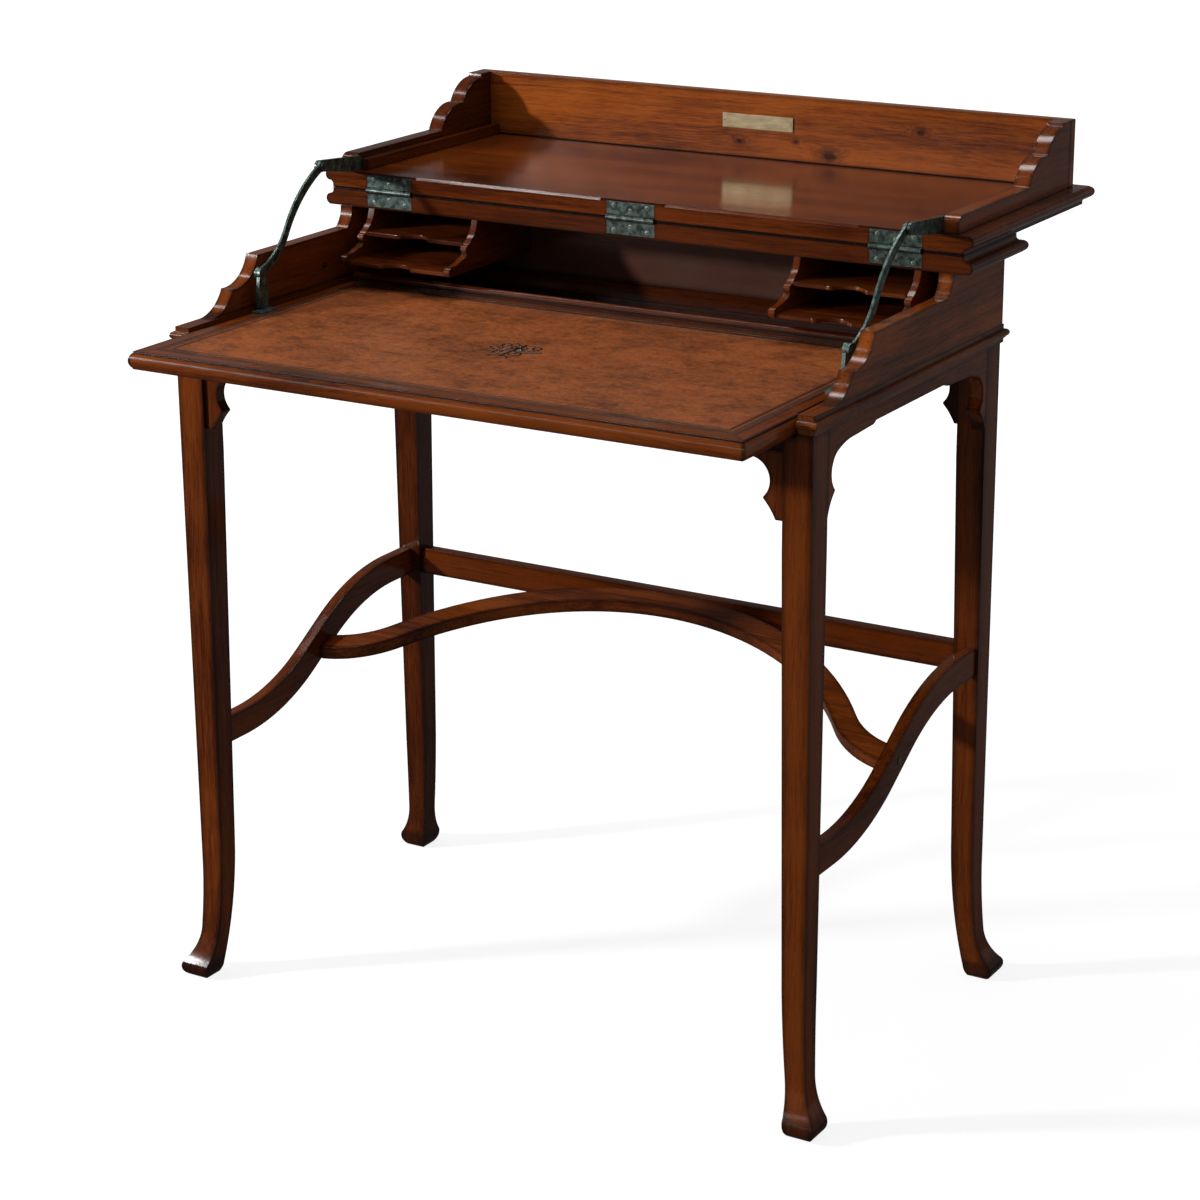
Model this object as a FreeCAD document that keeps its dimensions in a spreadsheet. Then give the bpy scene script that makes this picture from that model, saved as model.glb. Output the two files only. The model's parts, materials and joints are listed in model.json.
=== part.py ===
import FreeCAD, Part
import math
import os
import Sketcher

# A small mahogany campaign desk: four sabre-footed legs, a shallow case with two letter
# racks, a sliding writing slab, and a flap that folds back over three butt hinges and
# draws the slab forward through a pair of curved metal stays.
# Frame: +X to the sitter's right, +Y to the back, +Z up, origin on the floor below the
# centre of the open desk. Everything is in millimetres.

DIMENSIONS = {
    # flap and fixed top
    "top_width": 812.0,          # over the beads of flap and fixed top
    "seam_height": 861.0,        # joint between fixed top and open flap
    "front_face": 46.0,          # flush front face of flap and fixed top
    "top_rear": 190.0,
    "flap_rear": 371.0,
    "board_thick": 20.0,
    "edge_inset": 10.0,          # how far the ogee draws in at the seam
    "seam_gap": 0.5,
    "hinge_setback": 0.3,        # hinge pin in front of the front faces
    # gallery on the flap
    "gallery_width": 774.0,
    "gallery_rear": 354.0,
    "gallery_height": 956.5,
    "rail_height": 900.4,
    "gallery_thick": 19.0,
    "back_thick": 14.0,
    # case
    "case_width": 770.0,
    "side_thick": 16.0,
    "case_rear": 176.0,
    "run_height": 818.0,         # level top edge of the case sides
    "case_foot": -226.0,         # front end of the case sides
    # writing slab
    "slab_top": 759.0,
    "slab_bottom": 739.5,
    "slab_width": 732.0,
    "slab_front": -371.0,
    "slab_rear": 36.0,
    "slab_neck": 718.0,          # width of the slab between the stays
    "leather_width": 690.0,
    "leather_front": -350.0,
    "leather_rear": 13.0,
    # base moulding and frame
    "moulding_width": 781.0,
    "moulding_front": -271.0,
    "moulding_rear": 184.0,
    "moulding_inner": 734.0,
    "moulding_bottom": 742.0,
    "moulding_top": 762.0,
    "leg_span": 770.0,           # over the outer faces of the legs
    "leg_front": -267.0,
    "leg_rear": 172.0,
    "leg_head": 33.0,            # square of the leg above the taper
    "leg_ankle": 27.1,           # square of the leg above the foot
    "taper_top": 620.0,
    "taper_foot": 100.0,
    "foot_flare": 20.0,          # how far the toe stands out at a height of 17
    "apron_low": 727.0,
    "apron_thick": 16.0,
    "rail_low": 722.0,
    # stretchers
    "stretcher_thick": 15.0,
    "stretcher_deep": 31.5,
    "stretcher_outer": 764.0,
    "stretcher_low": 289.5,      # centre of the side stretcher at the front leg
    "stretcher_high": 388.0,     # centre of the side stretcher at the rear leg
    # letter racks
    "rack_outer": 348.0,
    "rack_inner": 199.6,
    "rack_end": 8.0,             # thickness of the scalloped ends
    "rack_shelf": 4.5,
    "rack_bottom": 785.7,
    "shelf_upper": 813.0,
    # stays
    "stay_thick": 3.0,
    "stay_plane": 361.0,         # inner face of the stay links
    "pivot_front": -21.3,        # upper pivot on the open flap
    "pivot_height": 898.3,
    "foot_pivot_front": -145.2,  # lower pivot on the forward slab
    "foot_pivot_height": 799.7,
}

doc = FreeCAD.newDocument("campaign_desk")
sheet = doc.addObject("Spreadsheet::Sheet", "Sizes")
for row, (alias, length) in enumerate(DIMENSIONS.items(), start=1):
    sheet.set(f"A{row}", alias)
    sheet.set(f"B{row}", str(length))
    sheet.setAlias(f"B{row}", alias)
doc.recompute()


class Size:
    """A length that knows both its value and the sheet formula it comes from."""

    def __init__(self, value, formula):
        self.value = float(value)
        self.formula = formula

    def __add__(self, other):
        return Size(self.value + number(other), f"({self.formula} + {formula(other)})")

    def __sub__(self, other):
        return Size(self.value - number(other), f"({self.formula} - {formula(other)})")

    def __mul__(self, factor):
        return Size(self.value * number(factor), f"({self.formula} * {formula(factor)})")

    def __truediv__(self, divisor):
        return Size(self.value / number(divisor), f"({self.formula} / {formula(divisor)})")

    def __radd__(self, other):
        return self + other

    def __rsub__(self, other):
        return -self + other

    def __rmul__(self, factor):
        return self * factor

    def __neg__(self):
        return Size(-self.value, f"(-1 * {self.formula})")


def number(length):
    return length.value if isinstance(length, Size) else float(length)


def formula(length):
    return length.formula if isinstance(length, Size) else f"({float(length)!r})"


def get(alias):
    return Size(DIMENSIONS[alias], f"Sizes.{alias}")


def bind(item, path, length):
    if isinstance(length, Size):
        item.setExpression(path, length.formula)


def move(item, x=0.0, y=0.0, z=0.0):
    """Places an object and binds each bound coordinate to the sheet."""
    item.Placement = FreeCAD.Placement(
        FreeCAD.Vector(number(x), number(y), number(z)), item.Placement.Rotation)
    for axis, length in (("x", x), ("y", y), ("z", z)):
        bind(item, f".Placement.Base.{axis}", length)


nodes = []


def keep(item, name):
    """Marks an object as one finished sub-part with its own file."""
    item.Label = name
    nodes.append(item)
    return item


def box(name, x_range, y_range, z_range):
    item = doc.addObject("Part::Box", name)
    for side, (low, high) in zip(("Length", "Width", "Height"), (x_range, y_range, z_range)):
        setattr(item, side, number(high) - number(low))
        bind(item, side, high - low)
    move(item, x_range[0], y_range[0], z_range[0])
    return item


def cylinder_x(name, radius, x_range, y, z):
    """A round bar lying along X."""
    item = doc.addObject("Part::Cylinder", name)
    item.Radius = number(radius)
    bind(item, "Radius", radius)
    item.Height = number(x_range[1]) - number(x_range[0])
    bind(item, "Height", x_range[1] - x_range[0])
    item.Placement = FreeCAD.Placement(
        FreeCAD.Vector(), FreeCAD.Rotation(FreeCAD.Vector(0, 1, 0), 90))
    move(item, x_range[0], y, z)
    return item


def draw(sketch, outline):
    """Draws a closed outline of (u, v, bulge) corners and pins every corner.

    bulge is that of the edge to the next corner: 0 for a line, otherwise twice the rise
    over the chord, positive for a counter-clockwise arc.
    """
    ends = []
    pins = []
    for index, (u, v, bulge) in enumerate(outline):
        next_u, next_v, _ = outline[(index + 1) % len(outline)]
        start = FreeCAD.Vector(number(u), number(v), 0)
        stop = FreeCAD.Vector(number(next_u), number(next_v), 0)
        if bulge == 0:
            sketch.addGeometry(Part.LineSegment(start, stop))
            ends.append((1, 2))
        else:
            across = FreeCAD.Vector(start.y - stop.y, stop.x - start.x, 0)
            crown = (start + stop) * 0.5 - across * (bulge / 2)
            sketch.addGeometry(Part.Arc(start, crown, stop))
            ends.append((1, 2) if bulge > 0 else (2, 1))
            swing = (1 - bulge * bulge) / (4 * bulge)
            if abs(stop.x - start.x) > abs(stop.y - start.y):
                pins.append(("DistanceY", index, 3, (v + next_v) / 2 + (next_u - u) * swing))
            else:
                pins.append(("DistanceX", index, 3, (u + next_u) / 2 - (next_v - v) * swing))
        pins.append(("DistanceX", index, ends[-1][0], u))
        pins.append(("DistanceY", index, ends[-1][0], v))
    for index, (_, last) in enumerate(ends):
        following = (index + 1) % len(ends)
        sketch.addConstraint(
            Sketcher.Constraint("Coincident", index, last, following, ends[following][0]))
    for count, (kind, index, position, length) in enumerate(pins):
        place = sketch.addConstraint(Sketcher.Constraint(kind, index, position, number(length)))
        if isinstance(length, Size):
            sketch.renameConstraint(place, f"pin_{count}")
            sketch.setExpression(f"Constraints.pin_{count}", length.formula)


def board(name, plane, span, outline):
    """A flat board: an outline in XY, XZ or YZ, padded over a span of the third axis."""
    low, high = span
    body = doc.addObject("PartDesign::Body", name)
    sketch = body.newObject("Sketcher::SketchObject", name + "_outline")
    support = [f for f in body.Origin.OriginFeatures if f.Role == plane + "_Plane"][0]
    sketch.AttachmentSupport = [(support, "")]
    sketch.MapMode = "FlatFace"
    draw(sketch, outline)
    pad = body.newObject("PartDesign::Pad", name + "_pad")
    pad.Profile = sketch
    pad.Length = number(high) - number(low)
    bind(pad, "Length", high - low)
    sketch.Visibility = False
    if plane == "XY":
        move(body, z=low)
    elif plane == "YZ":
        move(body, x=low)
    else:
        move(body, y=high)
    return body


def boolean(kind, name, base, tool):
    item = doc.addObject("Part::" + kind, name)
    item.Base = base
    item.Tool = tool
    return item


def fuse(name, pieces):
    item = doc.addObject("Part::MultiFuse", name)
    item.Shapes = pieces
    return item


def twin(source, name):
    """The mirror image of a right-hand piece, on the sitter's left."""
    item = doc.addObject("Part::Mirroring", name)
    item.Source = source
    item.Normal = FreeCAD.Vector(1, 0, 0)
    return keep(item, name)


def mirrored(path):
    """The same path on the other side of the second axis."""
    return [(-u, v, -bulge) for u, v, bulge in path]


def backwards(path):
    """The same path run from its last corner to its first."""
    bulges = [0] + [-bulge for _, _, bulge in path[-2::-1]]
    corners = [(u, v) for u, v, _ in path[::-1]]
    return [(u, v, bulge) for (u, v), bulge in zip(corners, bulges[1:] + [0])]


def symmetric(path):
    """Closes a right-hand path, given from one end to the other, with its mirror image."""
    return path[:-1] + [(path[-1][0], path[-1][1], 0)] + backwards(mirrored(path))


# ---------------------------------------------------------------------------- edges

BEAD = 0.75     # bulge of a nosing
COVE = -0.42    # bulge of a hollow


def flap_edge(reach, up):
    """Ogee edge of flap or fixed top, from the seam outwards: hollow, fillet, bead."""
    seam = get("seam_height")
    start = seam + get("seam_gap") if up > 0 else seam
    inset = get("edge_inset")
    thick = get("board_thick")
    return [(reach - inset, start, 0),
            (reach - inset, start + 1.5 * up, COVE * up),
            (reach - 6.0, start + 7.5 * up, 0),
            (reach - 4.5, start + 7.5 * up, BEAD * up),
            (reach - 4.5, start + 19.5 * up, 0),
            (reach - 4.5, start + thick * up, 0)]


def base_edge(reach):
    """Base moulding from its underside up: fillet, hollow, bead, fillet."""
    low = get("moulding_bottom")
    return [(reach - 5.0, low, 0),
            (reach - 5.0, low + 2.0, COVE),
            (reach - 3.0, low + 5.5, 0),
            (reach - 3.0, low + 6.5, BEAD),
            (reach - 3.0, low + 14.5, 0),
            (reach - 5.0, low + 14.5, 0),
            (reach - 5.0, get("moulding_top"), 0)]


def slab_edge(reach):
    """Slab edge from its underside up: bead, quirk, rounded top arris."""
    low = get("slab_bottom")
    return [(reach - 3.5, low, 0),
            (reach - 3.5, low + 1.0, 3.5 / 8.1),
            (reach - 3.5, low + 17.2, 0),
            (reach - 5.3, low + 17.2, 0),
            (reach - 5.3, low + 18.0, 0),
            (reach - 3.9, low + 18.0, 0.4),
            (reach - 5.0, get("slab_top"), 0)]


def front_flat(edge, front):
    """Section of a board with a flat front at `front` and a moulded rear edge."""
    return [(front, edge[0][1], 0)] + edge + [(front, edge[-1][1], 0)]


# ---------------------------------------------------------------------------- frame

HALF_LEGS = get("leg_span") / 2
HEAD = get("leg_head")
FRAME_TOP = get("moulding_bottom")


def leg_outline(reach, out):
    """One face of a leg: straight outside, tapered inside, swept out at the foot."""
    head = get("leg_head") * out
    ankle = get("leg_ankle") * out
    flare = get("foot_flare")
    return [(reach - 9.5 * out, 0.0, -0.1 * out),
            (reach - 13.3 * out, 9.0, -0.039 * out),
            (reach - ankle, get("taper_foot") + 60.0, 0),
            (reach - head, get("taper_top"), 0),
            (reach - head, FRAME_TOP, 0),
            (reach, FRAME_TOP, 0),
            (reach, get("taper_foot") + 50.0, 0.02 * out),
            (reach + 3.2 * out, 58.0, 0.155 * out),
            (reach + flare * out, 17.0, -0.45 * out),
            (reach + (flare - 6.0) * out, 0.0, 0)]


def inner_face(reach, height, out):
    """Where the tapered inner face of a leg stands at a height on the taper."""
    low = get("taper_foot") + 60.0
    share = (height - low) / number(get("taper_top") - low)
    return reach - (get("leg_ankle") + (HEAD - get("leg_ankle")) * number(share)) * out


def leg(name, reach, out):
    across = board(name + "_across", "XZ", (-400.0, 400.0), leg_outline(HALF_LEGS, 1))
    along = board(name + "_along", "YZ", (300.0, 460.0), leg_outline(reach, out))
    return boolean("Common", name, across, along)


# the front legs' heads are rebated inside the mouldings, to let the slab pass over them
SLAB_WAY = get("slab_bottom") - 0.3
head_rebate = box("head_rebate", (HALF_LEGS - HEAD - 1.0, get("moulding_inner") / 2),
                  (get("leg_front") - 1.0, get("leg_front") + HEAD + 1.0),
                  (SLAB_WAY, FRAME_TOP + 1.0))
leg_front_right = keep(boolean("Cut", "leg_front_right",
                               leg("leg_front_blank", get("leg_front"), -1), head_rebate),
                       "leg_front_right")
leg_rear_right = keep(leg("leg_rear_right", get("leg_rear"), 1), "leg_rear_right")
twin(leg_front_right, "leg_front_left")
twin(leg_rear_right, "leg_rear_left")


def bracket_path(leg_side, out, low):
    """Lower edge of a side bracket from the leg outwards: point, long hollow, jog."""
    return [(leg_side, low - 75.0, -0.15 * out),
            (leg_side + 14.9 * out, low - 51.0, 0.5 * out),
            (leg_side + 14.4 * out, low - 48.0, -0.53 * out),
            (leg_side + 22.0 * out, low - 10.8, -0.1 * out),
            (leg_side + 56.0 * out, low - 4.5, 0),
            (leg_side + 99.0 * out, low - 3.0, 0),
            (leg_side + 105.0 * out, low, 0)]


def side_apron():
    front = get("leg_front") + HEAD
    rear = get("leg_rear") - HEAD
    low = get("apron_low")
    outline = (bracket_path(front, 1, low) + backwards(bracket_path(rear, -1, low))
               + [(rear, FRAME_TOP, 0), (front, FRAME_TOP, 0)])
    span = (HALF_LEGS - get("apron_thick"), HALF_LEGS)
    return keep(board("side_apron_right", "YZ", span, outline), "side_apron_right")


twin(side_apron(), "side_apron_left")

LEG_INSIDE = HALF_LEGS - HEAD
RAIL_DEEP = (get("leg_front") + 4.0, get("leg_front") + 18.0)
REAR_DEEP = (get("leg_rear") - 20.0, get("leg_rear") - 4.0)
keep(box("front_rail", (-LEG_INSIDE, LEG_INSIDE), RAIL_DEEP, (get("rail_low"), SLAB_WAY)),
     "front_rail")
keep(box("rear_apron", (-LEG_INSIDE, LEG_INSIDE), REAR_DEEP, (get("rail_low"), FRAME_TOP)),
     "rear_apron")


def corner_bracket(name, span):
    """Bracket between a leg and the rail above it: a point between two hollows."""
    low = get("rail_low")
    outline = [(LEG_INSIDE, low, 0),
               (LEG_INSIDE, low - 70.0, 0),
               (LEG_INSIDE - 9.5, low - 70.0, 0.08),
               (LEG_INSIDE - 22.5, low - 50.5, -0.5),
               (LEG_INSIDE - 22.3, low - 47.0, 0.6),
               (LEG_INSIDE - 35.0, low - 9.1, 0.02),
               (LEG_INSIDE - 80.0, low, 0)]
    return keep(board(name, "XZ", span, outline), name)


twin(corner_bracket("bracket_front_right", RAIL_DEEP), "bracket_front_left")
twin(corner_bracket("bracket_rear_right", REAR_DEEP), "bracket_rear_left")

# ---------------------------------------------------------------------------- stretchers

STRETCHER_OUT = get("stretcher_outer") / 2
STRETCHER_IN = STRETCHER_OUT - get("stretcher_thick")
BEND_SLOPE = math.radians(31)
BEND_RADIUS = 251.0


def side_stretcher():
    """An S-shaped board of even width, low at the front leg and high at the rear one.

    Its centre line leaves each leg level, bends through BEND_SLOPE on an arc of radius
    BEND_RADIUS and runs straight over the middle.
    """
    half = get("stretcher_deep") / 2
    low = get("stretcher_low")
    high = get("stretcher_high")
    front_low = inner_face(get("leg_front"), low - half, -1)
    front_high = inner_face(get("leg_front"), low + half, -1)
    rear_low = inner_face(get("leg_rear"), high - half, 1)
    rear_high = inner_face(get("leg_rear"), high + half, 1)
    slope_y = math.cos(BEND_SLOPE)
    slope_z = math.sin(BEND_SLOPE)
    rise = (high - low) / 2 - BEND_RADIUS * (1 - slope_y)
    middle_y = (front_low + rear_low) / 2
    middle_z = (low + high) / 2
    climb_y = rise * (slope_y / slope_z)
    bend_y = climb_y + BEND_RADIUS * slope_z
    lean_y = half * slope_z
    lean_z = half * slope_y
    turn = math.tan(BEND_SLOPE / 4)
    outline = [(front_low, low - half, 0),
               (middle_y - bend_y, low - half, turn),
               (middle_y - climb_y + lean_y, middle_z - rise - lean_z, 0),
               (middle_y + climb_y + lean_y, middle_z + rise - lean_z, -turn),
               (middle_y + bend_y, high - half, 0),
               (rear_low, high - half, 0),
               (rear_high, high + half, 0),
               (middle_y + bend_y, high + half, turn),
               (middle_y + climb_y - lean_y, middle_z + rise + lean_z, 0),
               (middle_y - climb_y - lean_y, middle_z - rise + lean_z, -turn),
               (middle_y - bend_y, low + half, 0),
               (front_high, low + half, 0)]
    return keep(board("side_stretcher_right", "YZ", (STRETCHER_IN, STRETCHER_OUT), outline),
                "side_stretcher_right")


twin(side_stretcher(), "side_stretcher_left")

REAR_STRETCHER_FRONT = get("leg_rear") - 25.0
REAR_STRETCHER_SPAN = (REAR_STRETCHER_FRONT, REAR_STRETCHER_FRONT + get("stretcher_thick"))
REAR_STRETCHER_TOP = 404.5
REAR_STRETCHER_FOOT = 372.5
keep(board("rear_stretcher", "XZ", REAR_STRETCHER_SPAN, symmetric([
    (inner_face(HALF_LEGS, REAR_STRETCHER_FOOT, 1), REAR_STRETCHER_FOOT, 0),
    (inner_face(HALF_LEGS, REAR_STRETCHER_TOP, 1), REAR_STRETCHER_TOP, 0)])), "rear_stretcher")

CROSS_TILT = 18.7           # degrees by which the serpentine stretcher rises to the back
CROSS_WIDE = 26.5
CROSS_THICK = 16.5
CROSS_SWEEP = math.radians(52)
CROSS_HOLLOW = 358.0        # radius of the front edge's long knee hollow
CROSS_RETURN = 129.0        # radius of the front edge's return at each end
CROSS_REACH = 146.9         # back of the serpentine's crown, touching the rear stretcher
CROSS_CROWN_TOP = 403.5


def cross_stretcher():
    """A serpentine stretcher sawn from a tilted board: knee hollow in the middle."""
    turn = math.tan(CROSS_SWEEP / 4)

    def bend(offset):
        along = (CROSS_HOLLOW + offset) * math.sin(CROSS_SWEEP)
        drop = (CROSS_HOLLOW + offset) * (1 - math.cos(CROSS_SWEEP))
        end_along = along + (CROSS_RETURN - offset) * math.sin(CROSS_SWEEP)
        end_drop = drop + (CROSS_RETURN - offset) * (1 - math.cos(CROSS_SWEEP))
        return (along, offset - drop), (end_along, offset - end_drop)

    (front_u, front_v), (tip_u, tip_v) = bend(0.0)
    (back_u, back_v), (_, heel_v) = bend(CROSS_WIDE)
    full = math.tan(CROSS_SWEEP / 2)
    outline = [(-front_u, front_v, -full), (front_u, front_v, turn),
               (tip_u, tip_v, 0), (tip_u, heel_v, -turn),
               (back_u, back_v, full), (-back_u, back_v, -turn),
               (-tip_u, heel_v, 0), (-tip_u, tip_v, turn)]
    plank = board("cross_plank", "XY", (-CROSS_THICK, 0.0), outline)
    plank.setExpression(".Placement.Base.z", None)
    tilt = FreeCAD.Rotation(FreeCAD.Vector(1, 0, 0), CROSS_TILT)
    sunk = tilt.multVec(FreeCAD.Vector(0, -CROSS_WIDE, -CROSS_THICK))
    plank.Placement = FreeCAD.Placement(
        FreeCAD.Vector(0, CROSS_REACH + sunk.y, CROSS_CROWN_TOP + sunk.z), tilt)
    room = box("cross_room", (-STRETCHER_IN, STRETCHER_IN), (-200.0, REAR_STRETCHER_FRONT),
               (250.0, 450.0))
    return keep(boolean("Common", "cross_stretcher", plank, room), "cross_stretcher")


cross_stretcher()

SCREW_HEAD = 4.5
SCREW_PLACE = (-48.8, 336.5)
keep(fuse("stretcher_screws", [
    cylinder_x("screw_right", SCREW_HEAD, (STRETCHER_OUT, STRETCHER_OUT + 1.0), *SCREW_PLACE),
    cylinder_x("screw_left", SCREW_HEAD, (-STRETCHER_OUT - 1.0, -STRETCHER_OUT), *SCREW_PLACE),
]), "stretcher_screws")

# ---------------------------------------------------------------------------- base and case

HALF_MOULDING = get("moulding_width") / 2
OPENING = get("moulding_inner") / 2
CASE_BACK_FACE = get("case_rear") - get("side_thick")
MITRE_BACK = get("moulding_rear") - (HALF_MOULDING - OPENING)


def base_mouldings():
    """Mitred mouldings on both sides and the back, open to the front for the slab."""
    low = get("moulding_bottom")
    top = get("moulding_top")
    across = board("moulding_across", "XZ", (-300.0, 220.0), symmetric(base_edge(HALF_MOULDING)))
    front = mirrored(base_edge(-get("moulding_front")))
    rear = base_edge(get("moulding_rear"))
    along = board("moulding_along", "YZ", (-400.0, 400.0), rear + backwards(front))
    block = boolean("Common", "moulding_block", across, along)
    far = HALF_MOULDING + 10.0
    back = get("moulding_rear") + 10.0
    side_plan = board("moulding_side_plan", "XY", (low - 5.0, top + 5.0), [
        (OPENING, get("moulding_front") - 5.0, 0), (far, get("moulding_front") - 5.0, 0),
        (far, back, 0), (OPENING, MITRE_BACK, 0)])
    side = keep(boolean("Common", "base_moulding_right", block, side_plan),
                "base_moulding_right")
    twin(side, "base_moulding_left")
    rear_plan = board("moulding_rear_plan", "XY", (low - 5.0, top + 5.0), symmetric([
        (OPENING, MITRE_BACK, 0), (far, back, 0)]))
    keep(boolean("Common", "base_moulding_rear", block, rear_plan), "base_moulding_rear")


base_mouldings()

HALF_CASE = get("case_width") / 2
CASE_INSIDE = HALF_CASE - get("side_thick")
CASE_BOTTOM = get("moulding_top")
TOP_UNDER = get("seam_height") - get("board_thick")
DEEP = 0.34     # bulge of the deeper coves, and of the gallery lobes that nest in them
SHALLOW = 0.25  # bulge of the coves that run out level


def case_side():
    """Cut-down side of the case: two coves at the front and one below the fixed top."""
    foot = get("case_foot")
    run = get("run_height")
    rear = get("case_rear")
    outline = [(foot, CASE_BOTTOM, 0), (rear, CASE_BOTTOM, 0), (rear, TOP_UNDER, 0),
               (get("front_face") - 2.0, TOP_UNDER, -SHALLOW),
               (get("front_face") - 13.0, run, 0),
               (foot + 89.0, run, 0), (foot + 88.0, run - 3.0, -DEEP),
               (foot + 42.0, CASE_BOTTOM + 26.0, 0), (foot + 40.0, CASE_BOTTOM + 22.0, -SHALLOW)]
    return keep(board("case_side_right", "YZ", (CASE_INSIDE, HALF_CASE), outline),
                "case_side_right")


twin(case_side(), "case_side_left")
keep(box("case_back", (-CASE_INSIDE, CASE_INSIDE), (CASE_BACK_FACE, get("case_rear")),
         (CASE_BOTTOM, TOP_UNDER)), "case_back")

RUNNER = (332.0, 351.5)
RUNNER_TOP = get("slab_bottom") - 0.2
twin(keep(box("slab_runner_right", RUNNER, (RAIL_DEEP[1], REAR_DEEP[0]),
              (get("rail_low"), RUNNER_TOP)), "slab_runner_right"), "slab_runner_left")
keep(box("well_floor", (-RUNNER[0], RUNNER[0]), (-60.0, REAR_DEEP[0]), (730.0, 738.0)),
     "well_floor")

PEG = 3.0
keep(fuse("stop_pegs", [
    cylinder_x("peg_right", PEG, (CASE_INSIDE - 3.5, CASE_INSIDE), -15.0, 784.0),
    cylinder_x("peg_left", PEG, (-CASE_INSIDE, -CASE_INSIDE + 3.5), -15.0, 784.0),
]), "stop_pegs")

# ---------------------------------------------------------------------------- hinges

HINGE_Y = get("front_face") - get("hinge_setback")
HINGE_Z = get("seam_height") + get("seam_gap") / 2
HINGE_CENTRES = (-318.0, 0.0, 318.0)
LEAF_HALF = 30.0
LEAF_THICK = 2.0
LEAF_TALL = 14.0
LEAF_START = 3.95       # height of the leaf's straight edge above the pin
KNUCKLE = 3.2
KNUCKLE_ROOM = 3.7
PIN = 1.5
PIN_HOLE = 1.56
KNUCKLES_FIXED = ((-30.0, -18.2), (-5.8, 5.8), (18.2, 30.0))
KNUCKLES_FLAP = ((-17.8, -6.2), (6.2, 17.8))


def hinge_leaves(name, up, knuckles, hole):
    """Three equal leaves let in flush, on the flap (up = 1) or the fixed top (up = -1)."""
    pieces = []
    face = get("front_face")
    inner = HINGE_Z + LEAF_START * up
    outer = HINGE_Z + (LEAF_START + LEAF_TALL) * up
    plate_z = (inner, outer) if up > 0 else (outer, inner)
    for place, centre in enumerate(HINGE_CENTRES):
        tag = f"{name}_{place}"
        pieces.append(box(tag + "_plate", (centre - LEAF_HALF, centre + LEAF_HALF),
                          (face, face + LEAF_THICK), plate_z))
        for count, (left, right) in enumerate(knuckles):
            span = (centre + left, centre + right)
            tab_z = (HINGE_Z, inner) if up > 0 else (inner, HINGE_Z)
            pieces.append(box(f"{tag}_tab_{count}", span, (face, face + LEAF_THICK), tab_z))
            pieces.append(cylinder_x(f"{tag}_knuckle_{count}", KNUCKLE, span, HINGE_Y, HINGE_Z))
    bores = fuse(name + "_bores", [
        cylinder_x(f"{name}_bore_{place}", hole, (centre - 31.0, centre + 31.0), HINGE_Y, HINGE_Z)
        for place, centre in enumerate(HINGE_CENTRES)])
    return keep(boolean("Cut", name, fuse(name + "_blank", pieces), bores), name)


hinge_leaves("hinge_leaves_fixed", -1, KNUCKLES_FIXED, PIN)
hinge_leaves("hinge_leaves_flap", 1, KNUCKLES_FLAP, PIN_HOLE)
keep(fuse("hinge_pins", [
    cylinder_x(f"hinge_pin_{place}", PIN, (centre - LEAF_HALF, centre + LEAF_HALF),
               HINGE_Y, HINGE_Z)
    for place, centre in enumerate(HINGE_CENTRES)]), "hinge_pins")


def mortises(name, up):
    """Recesses for the three leaves and their knuckles in one board."""
    face = get("front_face")
    inner = HINGE_Z
    outer = HINGE_Z + (LEAF_START + LEAF_TALL) * up
    span = (inner, outer) if up > 0 else (outer, inner)
    rooms = []
    for place, centre in enumerate(HINGE_CENTRES):
        rooms.append(box(f"{name}_{place}", (centre - LEAF_HALF, centre + LEAF_HALF),
                         (face - 1.0, face + LEAF_THICK), span))
        rooms.append(cylinder_x(f"{name}_round_{place}", KNUCKLE_ROOM,
                                (centre - LEAF_HALF - 0.5, centre + LEAF_HALF + 0.5),
                                HINGE_Y, HINGE_Z))
    return fuse(name, rooms)


# ---------------------------------------------------------------------------- boards

HALF_TOP = get("top_width") / 2


def moulded_board(name, up, rear):
    """A board with a flat front and the ogee edge on its other three sides."""
    across = board(name + "_across", "XZ", (-50.0, 450.0), symmetric(flap_edge(HALF_TOP, up)))
    along = board(name + "_along", "YZ", (-450.0, 450.0),
                  front_flat(flap_edge(rear, up), get("front_face")))
    blank = boolean("Common", name + "_blank", across, along)
    return boolean("Cut", name + "_hinged", blank, mortises(name + "_mortises", up))


keep(moulded_board("fixed_top", -1, get("top_rear")), "fixed_top")

FLAP_TOP = get("seam_height") + get("seam_gap") + get("board_thick")
STOPPED = ((-282.0, -38.0), (42.0, 275.0))     # chamfered stretches between the hinges
CHAMFER = 3.0


def flap_board():
    """The flap, with a stopped chamfer along its front arris between the hinges."""
    face = get("front_face")
    section = [(face - 1.0, FLAP_TOP - CHAMFER - 1.0, 0), (face + CHAMFER + 1.0, FLAP_TOP + 1.0, 0),
               (face - 1.0, FLAP_TOP + 1.0, 0)]
    cuts = fuse("flap_chamfers", [board(f"flap_chamfer_{count}", "YZ", span, section)
                                  for count, span in enumerate(STOPPED)])
    return keep(boolean("Cut", "flap_board", moulded_board("flap", 1, get("flap_rear")), cuts),
                "flap_board")


flap_board()

# ---------------------------------------------------------------------------- gallery

HALF_GALLERY = get("gallery_width") / 2
GALLERY_INSIDE = HALF_GALLERY - get("gallery_thick")
GALLERY_FACE = get("gallery_rear") - get("back_thick")
keep(box("gallery_back", (-HALF_GALLERY, HALF_GALLERY), (GALLERY_FACE, get("gallery_rear")),
         (FLAP_TOP, get("gallery_height"))), "gallery_back")


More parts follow.
